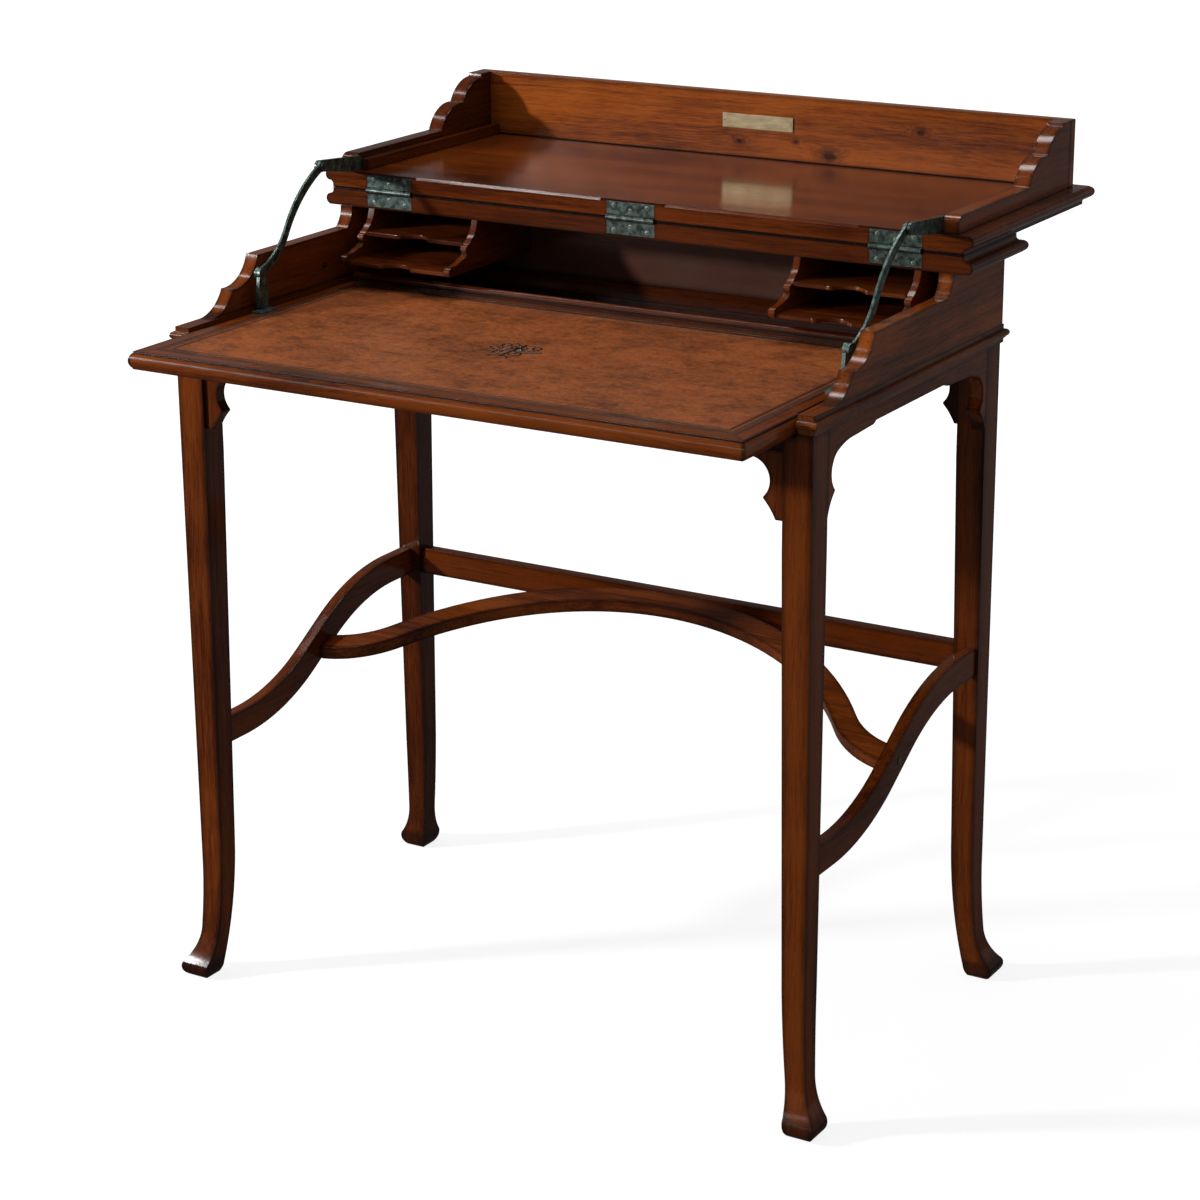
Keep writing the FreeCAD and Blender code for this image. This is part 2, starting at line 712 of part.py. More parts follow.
def gallery_side():
    """Low rail that swells into two lobes, the counterpart of the case side's coves."""
    rail = get("rail_height")
    top = get("gallery_height")
    start = get("front_face") + 4.0
    lobe = get("front_face") * 2 - get("case_foot") - 88.0
    outline = [(start, FLAP_TOP, 0), (GALLERY_FACE, FLAP_TOP, 0), (GALLERY_FACE, top, 0),
               (GALLERY_FACE - 20.0, top, 0), (GALLERY_FACE - 20.5, top - 4.0, SHALLOW),
               (lobe + 50.5, top - 25.5, 0), (lobe + 48.5, top - 29.0, DEEP),
               (lobe + 1.0, rail, 0), (start + 12.0, rail, 0.41), (start, rail - 12.0, 0)]
    return keep(board("gallery_side_right", "YZ", (GALLERY_INSIDE, HALF_GALLERY), outline),
                "gallery_side_right")


twin(gallery_side(), "gallery_side_left")

STAY_PLATE = (GALLERY_INSIDE - get("stay_thick"), GALLERY_INSIDE)
BATTEN_OUT = STAY_PLATE[0]
BATTEN_TALL = 12.5


def gallery_batten():
    """Strip along the foot of the gallery side that traps the stay plate."""
    start = get("front_face") + 14.0
    stop = GALLERY_FACE
    top = FLAP_TOP + BATTEN_TALL
    outline = [(start, FLAP_TOP, 0), (stop, FLAP_TOP, 0), (stop, top - 4.0, 0.41),
               (stop - 4.0, top, 0), (start, top, 0)]
    return keep(board("gallery_batten_right", "YZ", (BATTEN_OUT - 9.0, BATTEN_OUT), outline),
                "gallery_batten_right")


twin(gallery_batten(), "gallery_batten_left")

PLATE_Y = (GALLERY_FACE - 1.5, GALLERY_FACE)
keep(box("name_plate", (-46.0, 46.0), PLATE_Y, (915.5, 932.0)), "name_plate")

# ---------------------------------------------------------------------------- stays

PIVOT = (get("pivot_front"), get("pivot_height"))
FOOT_PIVOT = (get("foot_pivot_front"), get("foot_pivot_height"))
LINK = (get("stay_plane"), get("stay_plane") + get("stay_thick"))
EYE = 6.5
RIVET = 2.5
RIVET_HOLE = 2.55
LINK_HALF = 5.0


def stay_plate():
    """Flat plate run out to the upper pivot, its tail trapped behind the batten."""
    y, z = PIVOT
    face = get("front_face")
    tail = FLAP_TOP + BATTEN_TALL - 1.0
    outline = [(y + 1.0, z - EYE, 0), (face - 8.0, FLAP_TOP + 1.0, 0),
               (face + 2.0, FLAP_TOP, 0), (face + 104.0, FLAP_TOP, 0),
               (face + 104.0, tail, 0), (face + 14.5, tail, 0),
               (face + 12.0, FLAP_TOP + 16.0, 0.2), (face + 9.0, FLAP_TOP + 17.0, 0),
               (face + 6.0, FLAP_TOP + 17.0, 0), (y + 1.0, z + EYE - 0.2, 0)]
    blade = board("stay_blade", "YZ", STAY_PLATE, outline)
    rivet = cylinder_x("stay_rivet", RIVET, (LINK[0] - 1.0, STAY_PLATE[1] - 0.5), y, z)
    head = cylinder_x("stay_rivet_head", 4.5, (LINK[0] - 2.0, LINK[0] - 0.5), y, z)
    return keep(fuse("stay_plate_right", [
        blade, cylinder_x("stay_plate_eye", EYE, STAY_PLATE, *PIVOT), rivet, head]),
                "stay_plate_right")


twin(stay_plate(), "stay_plate_left")


def stay_link():
    """The S-curved link, pierced at the upper pivot, with a riveted eye at the lower one."""
    (top_y, top_z), (foot_y, foot_z) = PIVOT, FOOT_PIVOT
    lean = math.atan2(number(top_z) - number(foot_z), number(top_y) - number(foot_y))
    side_y = -LINK_HALF * math.sin(lean)
    side_z = LINK_HALF * math.cos(lean)
    middle_y = foot_y * 0.56 + top_y * 0.44
    middle_z = foot_z * 0.56 + top_z * 0.44 - 5.0
    sag, swell = 0.22, 0.155
    outline = [(foot_y + side_y, foot_z + side_z, sag),
               (middle_y + side_y, middle_z + side_z, -swell),
               (top_y + side_y, top_z + side_z, 0),
               (top_y - side_y, top_z - side_z, swell),
               (middle_y - side_y, middle_z - side_z, -sag),
               (foot_y - side_y, foot_z - side_z, 0)]
    strap = board("link_strap", "YZ", LINK, outline)
    blank = fuse("link_blank", [
        strap,
        cylinder_x("link_top_eye", EYE, LINK, *PIVOT),
        cylinder_x("link_foot_eye", EYE, LINK, *FOOT_PIVOT),
        cylinder_x("link_rivet", 4.0, (LINK[0], LINK[1] + 1.2), *FOOT_PIVOT)])
    bore = cylinder_x("link_bore", RIVET_HOLE, (LINK[0] - 1.0, LINK[1] + 1.0), *PIVOT)
    return keep(boolean("Cut", "stay_link_right", blank, bore), "stay_link_right")


twin(stay_link(), "stay_link_left")

# ---------------------------------------------------------------------------- slab

HALF_SLAB = get("slab_width") / 2
HALF_NECK = get("slab_neck") / 2
NECK_FRONT = -258.0          # behind this the slab is narrow enough to pass the stays
LEATHER = 1.2


def slab():
    """A mitred border with moulded edges around a core board and a leather skiver."""
    low = get("slab_bottom")
    top = get("slab_top")
    front = get("slab_front")
    rear = get("slab_rear")
    across = board("slab_across", "XZ", (-420.0, 60.0), symmetric(slab_edge(HALF_SLAB)))
    nose = mirrored(slab_edge(-front))
    along = board("slab_along", "YZ", (-400.0, 400.0), nose + [(rear, top, 0), (rear, low, 0)])
    block = boolean("Common", "slab_block", across, along)
    plan = board("slab_plan", "XY", (low - 5.0, top + 5.0), symmetric([
        (HALF_SLAB + 5.0, front - 5.0, 0), (HALF_SLAB + 5.0, NECK_FRONT, 0),
        (HALF_NECK, NECK_FRONT + 8.0, 0), (HALF_NECK, rear + 5.0, 0)]))
    blank = boolean("Common", "slab_blank", block, plan)
    inner_x = get("leather_width") / 2
    inner_front = get("leather_front")
    inner_rear = get("leather_rear")
    keep(box("slab_core", (-inner_x, inner_x), (inner_front, inner_rear), (low, top - LEATHER)),
         "slab_core")
    keep(box("leather_skiver", (-inner_x, inner_x), (inner_front, inner_rear),
             (top - LEATHER, top)), "leather_skiver")
    front_mitre = [(HALF_SLAB + 30.0, front - 30.0, 0), (inner_x, inner_front, 0)]
    rear_mitre = [(HALF_NECK * 2 - inner_x, rear * 2 - inner_rear, 0), (inner_x, inner_rear, 0)]
    room = (low - 5.0, top + 5.0)
    front_plan = board("border_front_plan", "XY", room, symmetric(front_mitre))
    rear_plan = board("border_rear_plan", "XY", room, symmetric(rear_mitre))
    side_plan = board("border_side_plan", "XY", room,
                      front_mitre[:1] + [(HALF_SLAB + 30.0, rear + 30.0, 0)] + rear_mitre
                      + front_mitre[:0:-1])
    keep(boolean("Common", "slab_border_front", blank, front_plan), "slab_border_front")
    keep(boolean("Common", "slab_border_rear", blank, rear_plan), "slab_border_rear")
    side = keep(boolean("Common", "slab_border_right", blank, side_plan), "slab_border_right")
    twin(side, "slab_border_left")
    lip = [(rear - 11.0, top, 0), (rear, top, 0), (rear, top + 5.4, 1.0),
           (rear - 8.4, top + 5.4, 0.3), (rear - 7.6, top + 2.8, 0), (rear - 11.0, top + 2.4, 0)]
    keep(board("slab_lip", "YZ", (-HALF_NECK, HALF_NECK), lip), "slab_lip")


slab()


def stay_foot():
    """Bracket on the slab border: foot plate, upright and eye beside the stay link."""
    y, z = FOOT_PIVOT
    top = get("slab_top")
    plane = (LINK[0] - 4.5, LINK[0] - 0.5)
    upright = board("stay_upright", "YZ", plane, [
        (y - 7.5, top + 2.0, 0), (y + 7.5, top + 2.0, 0.1), (y + 5.0, z, 0), (y - 5.0, z, 0.1)])
    foot = box("stay_foot_plate", (HALF_NECK - 14.0, HALF_NECK), (y - 20.0, y + 8.0),
               (top, top + 2.0))
    bridge = box("stay_bridge", (HALF_NECK - 6.0, plane[1]), (y - 7.5, y + 7.5),
                 (top + 0.5, top + 2.5))
    return keep(fuse("stay_foot_right", [
        upright, foot, bridge, cylinder_x("stay_foot_eye", EYE, plane, *FOOT_PIVOT)]),
                "stay_foot_right")


twin(stay_foot(), "stay_foot_left")

# ---------------------------------------------------------------------------- letter racks

RACK_OUT = get("rack_outer")
RACK_IN = get("rack_inner")
RACK_END = get("rack_end")
RACK_SHELF = get("rack_shelf")
RACK_BACK = CASE_BACK_FACE
RACK_FRONT = -9.0
STEP_FRONT = 28.0


def rack_end(name, span):
    """Scalloped end of a rack: two S-shaped steps with rounded noses."""
    low = get("rack_bottom")
    outline = [(RACK_FRONT, low, 0), (RACK_BACK, low, 0), (RACK_BACK, TOP_UNDER, 0),
               (STEP_FRONT + 20.0, TOP_UNDER, 0), (STEP_FRONT + 16.0, 830.0, -0.12),
               (STEP_FRONT + 1.5, 817.0, 0), (STEP_FRONT, 815.5, 0.8),
               (STEP_FRONT - 2.0, 806.0, -0.12), (RACK_FRONT + 4.0, 796.5, 0.8)]
    return keep(board(name, "YZ", span, outline), name)


def rack_shelf(name, front, low):
    """Shelf of a rack with a serpentine finger notch in its front edge."""
    left = RACK_IN + RACK_END
    right = RACK_OUT - RACK_END
    middle = (left + right) / 2
    outline = [(left, front, 0),
               (middle - 25.0, front, 0.5), (middle - 17.0, front + 4.0, -0.5),
               (middle + 17.0, front + 4.0, 0.5), (middle + 25.0, front, 0),
               (right, front, 0), (right, RACK_BACK, 0), (left, RACK_BACK, 0)]
    return keep(board(name, "XY", (low, low + RACK_SHELF), outline), name)


twin(rack_end("rack_right_outer_end", (RACK_OUT - RACK_END, RACK_OUT)), "rack_left_outer_end")
twin(rack_end("rack_right_inner_end", (RACK_IN, RACK_IN + RACK_END)), "rack_left_inner_end")
twin(rack_shelf("rack_right_lower_shelf", RACK_FRONT + 1.0, get("rack_bottom")),
     "rack_left_lower_shelf")
twin(rack_shelf("rack_right_upper_shelf", STEP_FRONT, get("shelf_upper")),
     "rack_left_upper_shelf")

# ---------------------------------------------------------------------------- files

doc.recompute()
for item in doc.Objects:
    if "Invalid" in item.State or "Error" in item.State:
        raise RuntimeError(f"{item.Label} did not compute: {item.State}")
for item in nodes:
    if item.Shape.isNull() or not item.Shape.isValid():
        raise RuntimeError(f"{item.Label} has no valid shape")

os.makedirs("parts", exist_ok=True)
for item in nodes:
    item.Shape.exportStep(f"parts/{item.Label}.step")
print(len(nodes), "sub-parts written")
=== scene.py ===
import bpy
import json
import math
from mathutils import Matrix, Vector


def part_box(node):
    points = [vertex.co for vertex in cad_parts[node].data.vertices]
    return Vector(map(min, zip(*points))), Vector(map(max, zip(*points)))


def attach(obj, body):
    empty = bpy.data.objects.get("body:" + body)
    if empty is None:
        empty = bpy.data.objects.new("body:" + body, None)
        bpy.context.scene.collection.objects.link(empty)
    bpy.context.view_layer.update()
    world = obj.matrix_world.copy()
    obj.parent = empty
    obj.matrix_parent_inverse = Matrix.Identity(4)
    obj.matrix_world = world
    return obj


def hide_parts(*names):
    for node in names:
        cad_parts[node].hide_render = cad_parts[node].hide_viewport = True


# The looks of a small mahogany campaign desk: polished wood with eased arrises, a tooled
# leather writing surface, dark patinated hinges and stays with their screws, and a bare
# brass plate. Metres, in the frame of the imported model.

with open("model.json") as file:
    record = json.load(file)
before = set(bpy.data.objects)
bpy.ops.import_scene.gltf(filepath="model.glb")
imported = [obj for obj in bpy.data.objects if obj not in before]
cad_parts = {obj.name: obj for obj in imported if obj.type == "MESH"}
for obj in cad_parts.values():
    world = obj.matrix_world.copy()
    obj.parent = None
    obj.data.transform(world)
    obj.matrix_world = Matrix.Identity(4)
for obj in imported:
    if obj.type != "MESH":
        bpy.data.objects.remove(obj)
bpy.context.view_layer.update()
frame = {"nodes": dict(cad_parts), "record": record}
NODES = frame["nodes"]
BODY_OF = {
    node: body
    for body, members in frame["record"]["behaviour"]["bodies"].items()
    for node in members
}

MM = 0.001

# ------------------------------------------------------------------ shader helpers


def colour(red, green, blue):
    """A colour given as a screen shows it, 0 to 255, in the shader's linear values."""
    def channel(value):
        value /= 255.0
        return value / 12.92 if value <= 0.04045 else ((value + 0.055) / 1.055) ** 2.4
    return (channel(red), channel(green), channel(blue), 1.0)


class Value:
    """A socket whose arithmetic adds Math nodes to its shader."""

    def __init__(self, shader, socket):
        self.shader = shader
        self.socket = socket

    def joined(self, operation, *terms):
        sockets = dict(enumerate(terms))
        return self.shader.node("ShaderNodeMath", {"operation": operation}, sockets)

    def __add__(self, other):
        return self.joined("ADD", self, other)

    def __sub__(self, other):
        return self.joined("SUBTRACT", self, other)

    def __mul__(self, other):
        return self.joined("MULTIPLY", self, other)

    def __abs__(self):
        return self.joined("ABSOLUTE", self)

    def __radd__(self, other):
        return self.joined("ADD", other, self)

    def __rsub__(self, other):
        return self.joined("SUBTRACT", other, self)

    def __rmul__(self, other):
        return self.joined("MULTIPLY", other, self)

    def at_least(self, other):
        return self.joined("MAXIMUM", self, other)

    def at_most(self, other):
        return self.joined("MINIMUM", self, other)

    def ramp(self, low, high, to_low=0.0, to_high=1.0):
        """Eased from to_low at low to to_high at high, and level beyond."""
        return self.shader.node(
            "ShaderNodeMapRange", {"interpolation_type": "SMOOTHSTEP", "clamp": True},
            {"Value": self, "From Min": low, "From Max": high,
             "To Min": to_low, "To Max": to_high})


class Shader:
    """A node tree that is written as expressions."""

    def __init__(self, tree):
        self.tree = tree
        tree.nodes.clear()

    def node(self, kind, settings=None, sockets=None, out=0):
        """A node of this type, with its settings made before its sockets are filled."""
        made = self.tree.nodes.new(kind)
        for name, setting in (settings or {}).items():
            setattr(made, name, setting)
        for name, filling in (sockets or {}).items():
            socket = made.inputs[name]
            if isinstance(filling, Value):
                self.tree.links.new(filling.socket, socket)
            else:
                socket.default_value = filling
        return Value(self, made.outputs[out]) if made.outputs else None

    def place(self):
        return self.node("ShaderNodeTexCoord", out="Object")

    def axes(self, vector):
        return [self.node("ShaderNodeSeparateXYZ", None, {"Vector": vector}, axis)
                for axis in "XYZ"]

    def mapped(self, vector, scale, offset=(0, 0, 0), turn=(0, 0, 0)):
        return self.node("ShaderNodeMapping", None,
                         {"Vector": vector, "Location": offset, "Rotation": turn,
                          "Scale": scale})

    def noise(self, vector, scale=1.0, detail=2.0, rough=0.5, out="Fac"):
        return self.node("ShaderNodeTexNoise", None,
                         {"Vector": vector, "Scale": scale, "Detail": detail,
                          "Roughness": rough}, out)

    def vector(self, operation, *terms, out=0):
        return self.node("ShaderNodeVectorMath", {"operation": operation},
                         dict(enumerate(terms)), out)

    def mix(self, share, first, second, blend="MIX"):
        """Colours mixed by share. The sockets of a colour mix are 0, 6 and 7."""
        return self.node("ShaderNodeMix", {"data_type": "RGBA", "blend_type": blend},
                         {0: share, 6: first, 7: second}, 2)

    def bump(self, height, strength, distance, below=None):
        sockets = {"Height": height, "Strength": strength, "Distance": distance}
        if below is not None:
            sockets["Normal"] = below
        return self.node("ShaderNodeBump", None, sockets)

    def hollow(self, reach, inside=False):
        """1 in the open, falling to 0 in a quirk, or near an arris seen from inside."""
        return self.node("ShaderNodeAmbientOcclusion",
                         {"samples": 6, "only_local": True, "inside": inside},
                         {"Distance": reach}, "AO")


MATERIALS = {}


def material(name, recipe, **choices):
    """The material of this name, made by its recipe the first time it is asked for."""
    if name not in MATERIALS:
        made = bpy.data.materials.new(name)
        made.use_nodes = True
        shader = Shader(made.node_tree)
        surface = recipe(shader, **choices)
        shader.node("ShaderNodeOutputMaterial", None, {"Surface": surface})
        MATERIALS[name] = made
    return MATERIALS[name]


# ------------------------------------------------------------------ finishes

SHADOW_BROWN = colour(20, 9, 6)
# dark wax in the hollows, and painted shade there
WAX_AND_SHADE = colour(36, 39, 36)
DEEP_BROWN = colour(58, 22, 9)
RED_BROWN = colour(116, 51, 17)
GOLD_BROWN = colour(164, 84, 27)
JOINT_BLACK = colour(11, 10, 9)
PAINTED_SHEEN = colour(92, 78, 76)


def mahogany(shader, grain="x", seed=0.0, tone=0.5, stain=(255, 255, 255), glaze=8.0,
             knots=(), seams=(), bloom=0.0, rough=0.16):
    """French-polished mahogany.

    grain is the axis it runs along, tone how light it is, stain the colour of its polish and
    glaze how far in from the arrises the wood is darkened, in mm. knots holds the
    middle and radius of each knot, in metres. seams holds the places (axis, level, half width,
    strength) of dark joint lines and of the feet's darkening towards the floor, in mm. bloom is
    the share of a pale film that paints a hazy reflected sheen, and rough the polish's
    roughness.
    """
    place = shader.place()
    run = "xyz".index(grain)

    def along(lengthwise, crosswise):
        scale = [crosswise] * 3
        scale[run] = lengthwise
        return scale

    def from_knot(middle, stretch):
        apart = shader.vector("SUBTRACT", place, middle)
        apart = shader.vector("MULTIPLY", apart, along(stretch, 1.0))
        return shader.vector("LENGTH", apart, out="Value")

    offset = (seed * 3.17, seed * 1.93, seed * 2.41)
    sway = shader.noise(shader.mapped(place, along(2.0, 5.0), offset), 1.0, 2.0, out="Color")
    bent = shader.vector("MULTIPLY_ADD", sway, (0.03, 0.03, 0.03), place)
    for *middle, radius in knots:
        # the grain flows round a knot
        push = from_knot(middle, 0.45).ramp(0.0, radius * 2.2, 0.3, 0.0)
        push = shader.node("ShaderNodeCombineXYZ", None, dict.fromkeys("XYZ", push))
        bent = shader.vector("MULTIPLY_ADD", push, (0.02, 0.02, 0.02), bent)
    figure = shader.noise(shader.mapped(bent, along(1.2, 16.0), offset), 1.0, 3.0, 0.55)
    streak = shader.noise(shader.mapped(bent, along(5.0, 190.0), offset), 1.0, 6.0, 0.7)
    thread = shader.noise(shader.mapped(bent, along(40.0, 800.0), offset), 1.0, 4.0, 0.65)
    pore = shader.noise(shader.mapped(bent, along(90.0, 2600.0), offset), 1.0, 1.0)
    cloud = shader.noise(shader.mapped(place, along(9.0, 12.0), offset), 1.0, 3.0)
    light = (figure.ramp(0.3, 0.7) * 0.44 + streak.ramp(0.3, 0.7) * 0.28
             + thread.ramp(0.28, 0.72) * 0.28)
    wood = shader.mix(light, DEEP_BROWN, RED_BROWN)
    wood = shader.mix((light * 0.7 + cloud * 0.45).ramp(0.3, 0.85) * tone, wood, GOLD_BROWN)
    dark_line = streak.ramp(0.28, 0.40, 0.28, 0.0)
    wood = shader.mix(dark_line, wood, DEEP_BROWN)
    wood = shader.mix(pore.ramp(0.30, 0.42, 0.3, 0.0), wood, SHADOW_BROWN)
    wood = shader.mix(1.0, wood, colour(*stain), blend="MULTIPLY")
    # a pale film over the wood: a painted hazy sheen of reflected light
    if bloom:
        wood = shader.mix(cloud.ramp(0.2, 0.8, bloom * 0.7, bloom * 1.3), wood, PAINTED_SHEEN)
    for *middle, radius in knots:
        wobble = shader.noise(place, 160.0, 3.0)
        reach = from_knot(middle, 0.7) + (wobble - 0.5) * radius
        wood = shader.mix(reach.ramp(radius * 0.35, radius, 0.9, 0.0), wood, SHADOW_BROWN)
        wood = shader.mix(reach.ramp(radius, radius * 2.2, 0.35, 0.0), wood, DEEP_BROWN)
    # darker in quirks, corners and joints: dark wax there, and painted shade
    wax_and_shade = shader.hollow(7 * MM).ramp(0.4, 0.92, 0.92, 0.0)
    wood = shader.mix(wax_and_shade, wood, WAX_AND_SHADE)
    # darker in from every arris, as far as glaze reaches
    rubbed = shader.hollow(glaze * MM, inside=True) + (cloud - 0.5) * 0.35
    wood = shader.mix(rubbed.ramp(0.45, 0.98, 0.8, 0.0), wood, SHADOW_BROWN)
    for axis, level, half_width, strength in seams:
        # only on the faces that the line crosses, not on a face that lies at its level
        number = "xyz".index(axis)
        reach = abs(shader.axes(place)[number] - level * MM)
        facing = shader.axes(shader.node("ShaderNodeTexCoord", out="Normal"))[number]
        crossed = abs(facing).ramp(0.6, 0.9, 1.0, 0.0)
        line = reach.ramp(half_width * 0.6 * MM, half_width * MM, strength, 0.0) * crossed
        wood = shader.mix(line, wood, JOINT_BLACK)
    wax = shader.noise(place, 38.0, 3.0)
    roughness = rough + (wax - 0.5) * 0.12 + wax_and_shade * 0.3
    grain_bump = shader.bump(pore, 0.12, 0.0002)
    polish = shader.bump(shader.noise(shader.mapped(place, along(6.0, 14.0)), 1.0, 2.0),
                         0.15, 0.004, grain_bump)
    return shader.node("ShaderNodeBsdfPrincipled", None, {
        "Base Color": wood, "Roughness": roughness, "Normal": polish,
        "Specular IOR Level": 0.4})


def hide(shader, half_width, front, rear):
    """Aged brown hide: clouded, finely grained, darker towards its tooled edge."""
    place = shader.place()
    across, along = shader.axes(place)[:2]
    edge = (half_width - abs(across)).at_most(
        abs(along - (front + rear) / 2) * -1.0 + (rear - front) / 2)
    broad = shader.noise(shader.mapped(place, (1.0, 1.2, 1.0)), 9.0, 4.0, 0.62)
    patch = shader.noise(shader.mapped(place, (1.0, 1.3, 1.0), (3.1, 1.2, 0.4)), 34.0, 6.0, 0.72)
    crackle = shader.noise(shader.mapped(place, (1.0, 1.5, 1.0)), 150.0, 5.0, 0.75)
    fleck = shader.noise(place, 420.0, 3.0, 0.75)
    light = (broad.ramp(0.3, 0.7) * 0.34 + patch.ramp(0.3, 0.7) * 0.26
             + crackle.ramp(0.34, 0.66) * 0.4)
    skin = shader.mix(light, colour(78, 38, 19), colour(184, 99, 44))
    skin = shader.mix(patch.ramp(0.33, 0.48, 0.35, 0.0), skin, colour(80, 44, 24))
    skin = shader.mix(broad.ramp(0.56, 0.72, 0.0, 0.35), skin, colour(122, 56, 34))
    skin = shader.mix(fleck.ramp(0.52, 0.68, 0.0, 0.45), skin, colour(66, 34, 18))
    worn = edge + (patch - 0.5) * (8 * MM)
    skin = shader.mix(worn.ramp(0.0, 24 * MM, 0.5, 0.0), skin, colour(64, 32, 18))
    band = abs(edge - 4.5 * MM).ramp(3.0 * MM, 4.2 * MM, 0.55, 0.0)
    skin = shader.mix(band, skin, colour(46, 24, 16))
    # painted highlight: a thin pale grey glint along the leather's edge
    edge_glint = edge.ramp(0.6 * MM, 2.0 * MM, 0.9, 0.0)
    skin = shader.mix(edge_glint, skin, colour(62, 62, 54))
    tooled = abs(edge - 13.0 * MM).ramp(1.2 * MM, 1.8 * MM, 0.75, 0.0)
    skin = shader.mix(tooled, skin, colour(44, 36, 30))
    grain = shader.node("ShaderNodeTexVoronoi", {"feature": "DISTANCE_TO_EDGE"},
                        {"Vector": place, "Scale": 850.0}, "Distance")
    pitted = shader.bump(grain.ramp(0.0, 0.25), 0.25, 0.0002)
    waves = shader.bump(patch + crackle * 0.3, 0.3, 0.002, pitted)
    roughness = 0.4 + (patch - 0.5) * 0.24 + fleck * 0.06 - edge_glint * 0.1
    return shader.node("ShaderNodeBsdfPrincipled", None, {
        "Base Color": skin, "Roughness": roughness, "Normal": waves,
        "Specular IOR Level": 0.3})


def tooling(shader):
    """The dark, pressed colour of blind tooling."""
    place = shader.place()
    mottle = shader.noise(place, 320.0, 3.0)
    skin = shader.mix(mottle.ramp(0.42, 0.6), colour(10, 11, 9), colour(54, 52, 44))
    return shader.node("ShaderNodeBsdfPrincipled", None, {
        "Base Color": skin, "Roughness": mottle * 0.3 + 0.08,
        "Normal": shader.bump(mottle, 0.5, 0.0006), "Specular IOR Level": 0.5})


def patina(shader, dark=(38, 47, 44), pale=(88, 106, 100)):
    """Dark metal with a green-grey bloom, lightly pitted and rubbed at the arrises."""
    place = shader.place()
    bloom = shader.noise(place, 130.0, 5.0, 0.65)
    pits = shader.noise(place, 900.0, 2.0)
    metal = shader.mix(bloom.ramp(0.35, 0.65), colour(*dark), colour(*pale))
    metal = shader.mix(pits.ramp(0.56, 0.7, 0.0, 0.6), metal, colour(20, 23, 22))
    metal = shader.mix(shader.hollow(2 * MM, inside=True).ramp(0.2, 0.6, 0.45, 0.0),
                       metal, colour(150, 164, 156))
    metal = shader.mix(shader.hollow(2 * MM).ramp(0.5, 0.95, 0.9, 0.0), metal,
                       colour(10, 11, 11))
    return shader.node("ShaderNodeBsdfPrincipled", None, {
        "Base Color": metal, "Metallic": 0.75, "Roughness": bloom * 0.25 + 0.28,
        "Normal": shader.bump(bloom + pits * 0.5, 0.25, 0.0006)})


def brushed_brass(shader):
    """Pale, dull brass, brushed lengthwise."""
    place = shader.place()
    brushing = shader.noise(shader.mapped(place, (60.0, 60.0, 2400.0)), 1.0, 3.0)
    tarnish = shader.noise(shader.mapped(place, (1.0, 1.0, 3.0)), 60.0, 5.0, 0.7)
    metal = shader.mix(tarnish.ramp(0.3, 0.75), colour(182, 166, 132), colour(146, 130, 98))
    metal = shader.mix(brushing.ramp(0.45, 0.7, 0.0, 0.35), metal, colour(100, 88, 64))
    metal = shader.mix(shader.hollow(1.5 * MM).ramp(0.5, 0.95, 0.9, 0.0), metal,
                       colour(30, 24, 16))
    return shader.node("ShaderNodeBsdfPrincipled", None, {
        "Base Color": metal, "Metallic": 0.9, "Roughness": brushing * 0.2 + 0.28,
        "Normal": shader.bump(brushing, 0.15, 0.0003)})


def board_finish(grain, seed, tone, stain, **choices):
    """The mahogany of one board."""
    return material(f"mahogany_{grain}_{seed}", mahogany, grain=grain, seed=seed, tone=tone,
                    stain=STAINS[stain], **choices)


# ------------------------------------------------------------------ making pieces


def only(piece):
    """Selects one object alone and makes it the active one."""
    bpy.ops.object.select_all(action="DESELECT")
    piece.select_set(True)
    bpy.context.view_layer.objects.active = piece


def modified(piece, kind, **settings):
    """Adds a modifier and applies it."""
    only(piece)
    modifier = piece.modifiers.new(kind, kind)
    for name, setting in settings.items():
        setattr(modifier, name, setting)
    bpy.ops.object.modifier_apply(modifier=modifier.name)


def eased(piece, arris, crease=30.0, segments=2):
    """Rounds the sharp arrises and shades the piece smooth between them."""
    modified(piece, "BEVEL", width=arris, segments=segments, limit_method="ANGLE",
             angle_limit=math.radians(crease), miter_outer="MITER_ARC")
    only(piece)
    bpy.ops.object.shade_smooth_by_angle(angle=math.radians(crease + 12.0))
    modified(piece, "WEIGHTED_NORMAL", keep_sharp=True, weight=60)


def united(name, pieces):
    """Joins several pieces as one, which takes the name."""
    bpy.ops.object.select_all(action="DESELECT")
    for piece in pieces:
        piece.select_set(True)
    bpy.context.view_layer.objects.active = pieces[0]
    bpy.ops.object.join()
    pieces[0].name = name
    return pieces[0]


def painted(piece, finish):
    piece.data.materials.clear()
    piece.data.materials.append(finish)


def belongs(piece, body, finish):
    """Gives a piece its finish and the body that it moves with."""
    painted(piece, finish)
    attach(piece, body)


def dressed(node, finish, arris, crease=30.0):
    """A cleaned copy of a node with eased arrises, which stands for the node."""
    piece = bpy.data.objects.new(node + "_finished", NODES[node].data.copy())
    bpy.context.scene.collection.objects.link(piece)
    only(piece)
    bpy.ops.mesh.customdata_custom_splitnormals_clear()
    bpy.ops.object.mode_set(mode="EDIT")
    bpy.ops.mesh.select_all(action="SELECT")
    bpy.ops.mesh.remove_doubles(threshold=0.01 * MM)
    bpy.ops.mesh.dissolve_limited(angle_limit=math.radians(0.2))
    bpy.ops.object.mode_set(mode="OBJECT")
    eased(piece, arris, crease)
    belongs(piece, BODY_OF[node], finish)
    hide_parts(node)
    return piece


SIDES = (("left", -1), ("right", 1))
# a right-hand twin has a grain of its own
RIGHT_SEED = 40

# polish colours, laid over the wood; painted_shade darkens the well floor as painted shade
STAINS = {
    "clear": (255, 255, 255),
    "honey": (236, 232, 226),
    "amber": (214, 208, 200),
    "russet": (196, 186, 176),
    "brown": (176, 166, 158),
    "umber": (152, 144, 140),
    "painted_shade": (92, 108, 116),
}
